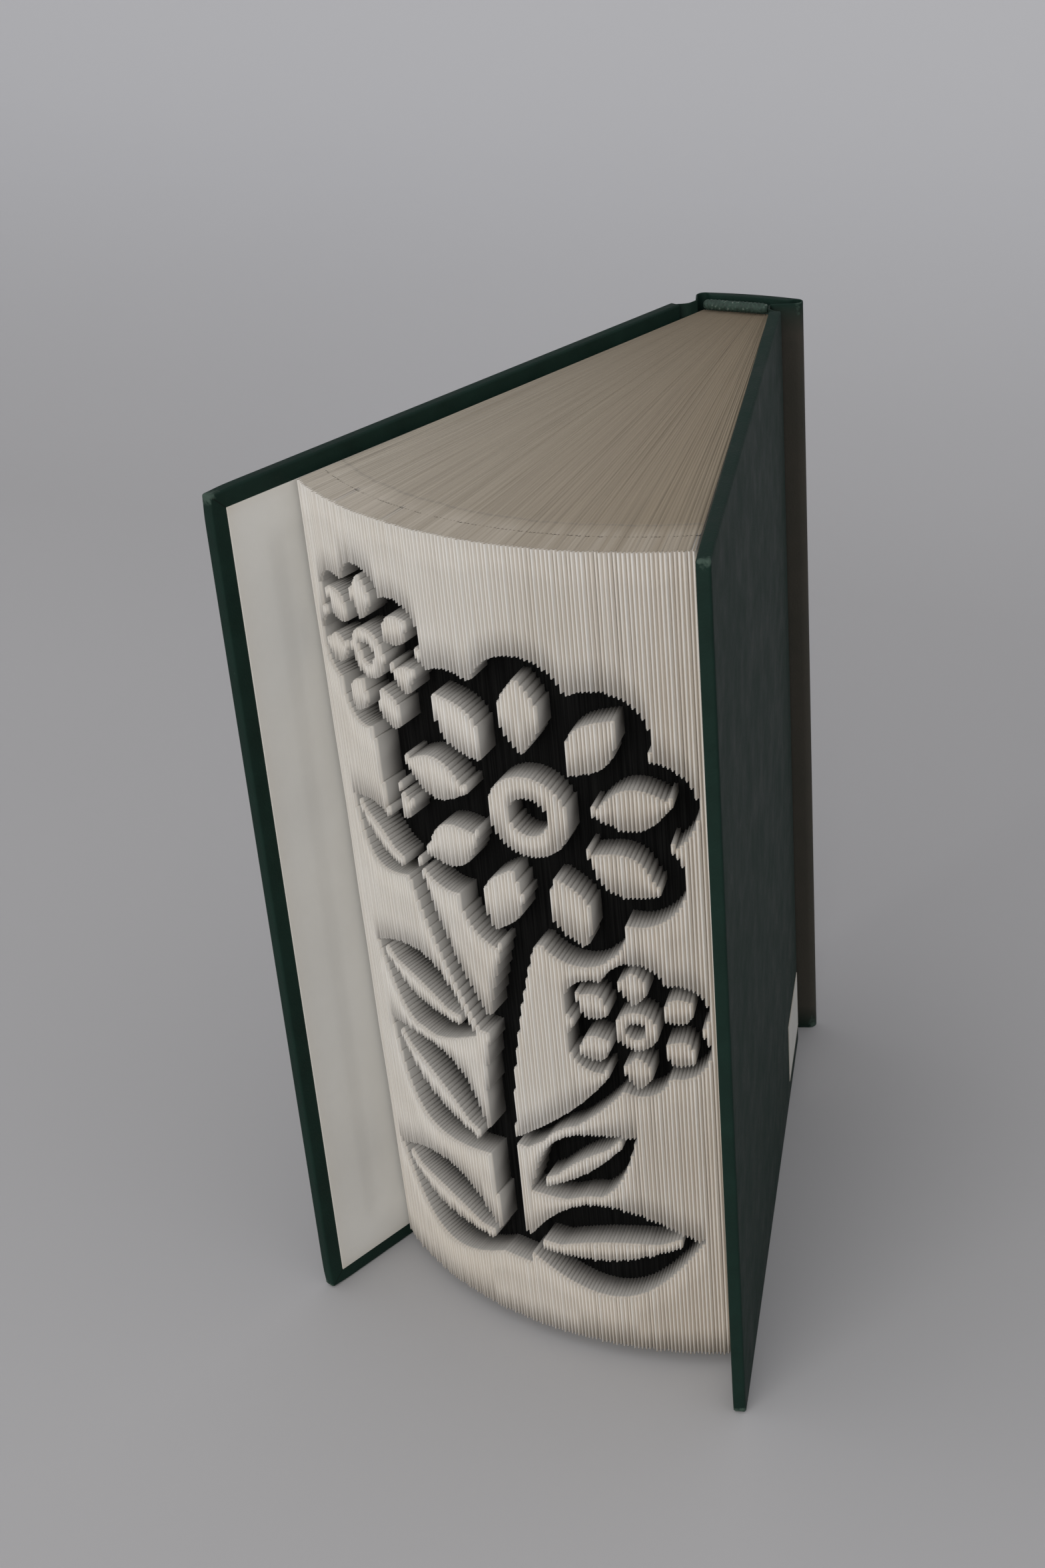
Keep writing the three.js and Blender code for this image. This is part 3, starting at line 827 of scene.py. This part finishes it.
def shoulderPath(side):
    # quarter and more of a circle round the shoulder, then straight into the groove
    half = spine["width"] / 2
    centre = np.array([middleX + spine["offset"] + side * (half - spine["shoulder"]),
                       caseY - spine["crown"] - spine["shoulder"]])
    groove = coverPlan(side, spine["grooveAlong"], spine["grooveOut"])
    reach = (groove - centre) * np.array([side, 1])
    finish = math.atan2(reach[1], reach[0]) + math.acos(spine["shoulder"] / np.hypot(*reach))
    turn = np.linspace(math.pi / 2, finish, 14)
    arc = centre + spine["shoulder"] * np.stack([side * np.cos(turn), np.sin(turn)], axis=1)
    run = arc[-1] + (groove - arc[-1]) * np.linspace(0, 1, 6)[1:, None]
    return np.concatenate([arc, run])


def makeSpine():
    half = spine["width"] / 2 - spine["shoulder"]
    share = np.linspace(-1, 1, 41)
    mid = middleX + spine["offset"]
    flat = np.stack([mid + share * half, caseY - spine["crown"] * share ** 2], axis=1)
    path = np.concatenate([shoulderPath(-1)[::-1], flat[1:-1], shoulderPath(1)])
    onFlat = smooth(half, half - 1.6, np.abs(path[:, 0] - mid)) * (path[:, 1] > caseY - 2)
    thick = spine["cloth"] + (spine["thick"] - spine["cloth"]) * onFlat
    points, quads, depth, z = ribbon(path, thick, 0.0, case["height"] - spine["headGap"],
                                     spine["round"])
    outer = smooth(0.5, 0.0, depth)
    toEnd = np.minimum(z, case["height"] - z)
    # the sun has faded the outside, less at the ends and in the grooves
    sun = outer * smooth(0.6, 2.6, toEnd) * smooth(-11.5, -7.5, (path[:, 1] - caseY))[:, None]
    rub = np.clip(0.75 * np.exp(-toEnd / spine["capFade"]) + 0 * depth, 0, 1) * spine["capRub"]
    edge = np.abs(path[:, 0] - mid) - spine["width"] / 2 + 0.6
    shoulder = np.exp(-(edge / spine["shoulderFade"]) ** 2)[:, None] * outer
    rub = np.clip(rub + spine["shoulderRub"] * shoulder, 0, 1)
    wrap = makePiece("spineWrap", points, quads, finishes["spine"],
                     {"rub": rub.ravel(), "sun": sun.ravel(), "mitre": np.full(rub.size, noMitre)},
                     merge=0.0005, turn=True)
    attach(wrap, "block")
    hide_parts("spine_cloth", "spine_inlay")


# the strips over the joints: cloth outside, endpaper inside, lengths in millimetres from the hinge
# line
jointCloth = {"start": 0.4, "past": 1.6, "thick": 0.35, "low": 0.25, "high": 0.45, "round": 0.15,
              "endRub": 0.6, "sun": 0.25}
hingePaper = {"start": 0.6, "past": 3.0, "out": -1.46, "thick": 0.12, "round": 0.05}


def makeJoint(name, side):
    # cloth of the outer joint: from inside the groove up over the board's spine edge
    share = np.linspace(0, 1, 22)
    along = spine["grooveAlong"] - jointCloth["start"] + (
        case["joint"] + jointCloth["past"] - spine["grooveAlong"]) * share
    climb = smooth(0.35, 0.95, share)
    out = spine["grooveOut"] + (case["clothOut"] - 0.02 - spine["grooveOut"]) * climb
    path = coverPlan(side, along, out)
    if side < 0:
        path = path[::-1]
    points, quads, depth, z = ribbon(path, jointCloth["thick"], jointCloth["low"],
                                     case["height"] - jointCloth["high"], jointCloth["round"])
    toEnd = np.minimum(z, case["height"] - z)
    rub = np.clip(jointCloth["endRub"] * np.exp(-toEnd / spine["capFade"]), 0, 1)
    sun = jointCloth["sun"] * smooth(0.5, 0, depth)
    strip = makePiece(name + "Joint", points, quads, finishes["spine"],
                      {"rub": rub.ravel(), "sun": sun.ravel(), "mitre": np.full(rub.size, noMitre)},
                      merge=0.0005, turn=True)
    middle = case["height"] / 2
    start = onCover(side, spine["grooveAlong"], spine["grooveOut"], middle) * milli
    end = onCover(side, case["joint"] - 0.4, spine["grooveOut"], middle) * milli
    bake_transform(strip)


def makeHingePaper(name, side):
    # endpaper across the inner joint, from the side of the block to the cover
    share = np.linspace(0, 1, 16)
    along = hingePaper["start"] + (case["joint"] + hingePaper["past"]) * share
    out = hingePaper["out"] + (case["pasteIn"] - hingePaper["out"] - 0.06) * smooth(0.5, 1.0, share)
    path = coverPlan(side, along, out)
    if side < 0:
        path = path[::-1]
    points, quads, depth, _ = ribbon(path, hingePaper["thick"], case["border"],
                                     case["height"] - case["border"], hingePaper["round"])
    strip = makePiece(name + "HingePaper", points, quads, finishes["endpaper"],
                      {"rub": np.zeros(depth.size)}, merge=0.0005, turn=True)
    middle = case["height"] / 2
    start = onCover(side, 1.2, -1.4, middle) * milli
    end = onCover(side, case["joint"] + 0.6, -1.4, middle) * milli
    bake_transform(strip)


makeSpine()
for name, side, body in (("front", -1, "front_cover"), ("back", 1, "back_cover")):
    makeJoint(name, side)
    makeHingePaper(name, side)
print("book: spine and joints made")

# headbands: a wound bead on a tape
band = {"bead": 1.3, "lift": 0.25, "tape": 9, "tapeThick": 0.4, "tapeIn": 0.25, "pitch": 1.05,
        "relief": 0.16, "fray": 0.10, "endTaper": 0.35}


def makeBand(name, node, blockEnd, up):
    low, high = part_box(node)
    left, right = low.x / milli, high.x / milli
    x = np.linspace(left, right, 150)[:, None]
    turn = np.linspace(0, 2 * math.pi, 29)[:-1]
    centreY = caseY - leaves["backDepth"] - 0.2 * band["bead"]
    centreZ = blockEnd + up * (band["bead"] + band["lift"])
    # the bead's radius swells once for each turn of thread, the turns lean round the bead
    wave = np.abs(np.sin(math.pi * (x / band["pitch"] + turn / (2 * math.pi))))
    radius = band["bead"] - band["relief"] + band["relief"] * wave
    radius = radius + dice.normal(0, band["fray"] / 3, wave.shape)
    radius *= 1 - band["endTaper"] * np.exp(-np.minimum(x - left, right - x) / 0.5)
    points = np.stack([x + 0 * turn, centreY + radius * np.cos(turn),
                       centreZ + radius * np.sin(turn)], axis=-1)
    rows, columns = wave.shape
    body = gridQuads(rows, columns, closed=True)
    caps = [capQuads(columns) + row * columns for row in (0, rows - 1)]
    patches = [(points, np.concatenate([body, *caps]), {"turn": wave})]
    end = blockEnd - up * band["tape"]
    tapeIn = caseY - leaves["backDepth"] + band["tapeIn"]
    tape = roundedSlab((left, tapeIn, min(end, centreZ)),
                       (right, tapeIn + band["tapeThick"], max(end, centreZ)), 0.1, (20, 2, 10))
    patches.append((tape[0], tape[1], {"turn": np.zeros(len(tape[0]))}))
    points, quads, values, _ = gather(patches)
    piece = makePiece(name, points, quads, finishes["thread"], values, merge=0.0005, turn=True)
    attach(piece, "block")
    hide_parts(node)


makeBand("headbandBead", "headband", leaves["high"], 1)
makeBand("tailbandBead", "tailband", leaves["low"], -1)

# a small bare paper label on the back cover, low against the joint
label = {"along": 9.2, "width": 27, "low": 6, "height": 18, "thick": 0.14, "sink": 0.04,
         "round": 0.06, "rubFade": 0.8}


def makeLabel():
    out = case["clothOut"]
    far, top = label["along"] + label["width"], label["low"] + label["height"]
    points, quads = roundedSlab((label["along"], out - label["sink"], label["low"]),
                                (far, out + label["thick"], top), label["round"], (30, 2, 24))
    along, away, z = points.T
    toSide = np.minimum(np.minimum(along - label["along"], far - along),
                        np.minimum(z - label["low"], top - z))
    piece = makePiece("spineLabel", onCover(1, along, away, z), quads, finishes["label"],
                      {"rub": np.exp(-toSide / label["rubFade"])}, merge=0.005, turn=True)
    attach(piece, "back_cover")


makeLabel()
lining = frame["nodes"]["spine_lining"]
lining.data.materials.clear()
lining.data.materials.append(finishes["kraft"])
print("book: bands, label and lining done")

# camera where the photograph was taken from
camera = {"at": (212.6, -427.1, 382.9), "yaw": -0.516, "pitch": 0.506, "roll": -0.090, "lens": 51.6}


def makeCamera():
    yaw, pitch, roll = camera["yaw"], camera["pitch"], camera["roll"]
    ahead = np.array([math.sin(yaw) * math.cos(pitch), math.cos(yaw) * math.cos(pitch),
                      -math.sin(pitch)])
    right = np.array([math.cos(yaw), -math.sin(yaw), 0])
    up = np.cross(right, ahead)
    across = math.cos(roll) * right + math.sin(roll) * up
    above = -math.sin(roll) * right + math.cos(roll) * up
    data = bpy.data.cameras.new("camera")
    data.lens = camera["lens"]
    data.clip_start, data.clip_end = 0.01, 20
    view = bpy.data.objects.new("camera", data)
    turned = Matrix(np.stack([across, above, -ahead], axis=1).tolist())
    view.matrix_world = Matrix.Translation(np.array(camera["at"]) * milli) @ turned.to_4x4()
    bpy.context.scene.collection.objects.link(view)
    bpy.context.scene.camera = view


lamps = {
    "windowLight": {"at": (0.05, -1.9, 0.85), "aim": (0, 0, 0.12), "size": 1.8, "power": 23.5,
                    "colour": (1.0, 0.99, 0.97)},
    "skyLight": {"at": (0.2, -0.2, 2.2), "aim": (0, 0, 0.1), "size": 2.4, "power": 3,
                 "colour": (0.97, 0.98, 1.0)},
}
studio = {"table": (0.42, 0.415, 0.42, 1), "tablePale": (0.44, 0.435, 0.44, 1),
          "wall": (0.60, 0.60, 0.615, 1), "rough": 0.9, "air": (0.9, 0.9, 0.92, 1),
          "airStrength": 0.66}


def makeLamp(name, at, aim, size, power, colour):
    data = bpy.data.lights.new(name, "AREA")
    data.size, data.energy, data.color = size, power, colour
    lamp = bpy.data.objects.new(name, data)
    bpy.context.scene.collection.objects.link(lamp)
    way = np.array(aim, float) - np.array(at, float)
    back = -way / np.linalg.norm(way)
    side = np.cross([0, 0, 1], back)
    side /= np.linalg.norm(side)
    turned = Matrix(np.stack([side, np.cross(back, side), back], axis=1).tolist())
    lamp.matrix_world = Matrix.Translation(at) @ turned.to_4x4()


def makeStage():
    # a pale floor that curves up into a backdrop
    turn = np.linspace(0, math.pi / 2, 24)
    out = np.concatenate([[-6000, -600, 0], 900 + 700 * np.sin(turn), [1600]])
    up = np.concatenate([[0, 0, 0], 700 * (1 - np.cos(turn)), [2600]])
    x = np.linspace(-4000, 4000, 12)[:, None]
    points = np.stack([x + 0 * out, out + 0 * x, up - 0.05 + 0 * x], axis=-1)
    material, tree, shader, where = newMaterial("studioFloor")
    tone = addNode(tree, "ShaderNodeTexNoise", {"Vector": where, "Scale": 2.0, "Detail": 2.0})
    colour = mixColour(tree, spread(tree, tone.outputs["Fac"], 0.3, 0.7), studio["table"],
                       studio["tablePale"])
    # the wall behind the table is a little paler
    depth = addNode(tree, "ShaderNodeSeparateXYZ", {0: where}).outputs["Y"]
    colour = mixColour(tree, spread(tree, depth, 0.35, 0.9), colour, studio["wall"])
    tree.links.new(colour, shader.inputs["Base Color"])
    shader.inputs["Roughness"].default_value = studio["rough"]
    floor = makePiece("studioFloor", points.reshape(-1, 3), gridQuads(len(x), len(out)), material)


makeCamera()
for name, lamp in lamps.items():
    makeLamp(name, **lamp)
makeStage()
world = bpy.data.worlds.new("studioAir")
world.use_nodes = True
air = world.node_tree.nodes["Background"]
air.inputs["Color"].default_value = studio["air"]
air.inputs["Strength"].default_value = studio["airStrength"]
bpy.context.scene.world = world
bpy.context.scene.view_settings.view_transform = "Standard"
print("book: camera and light placed")
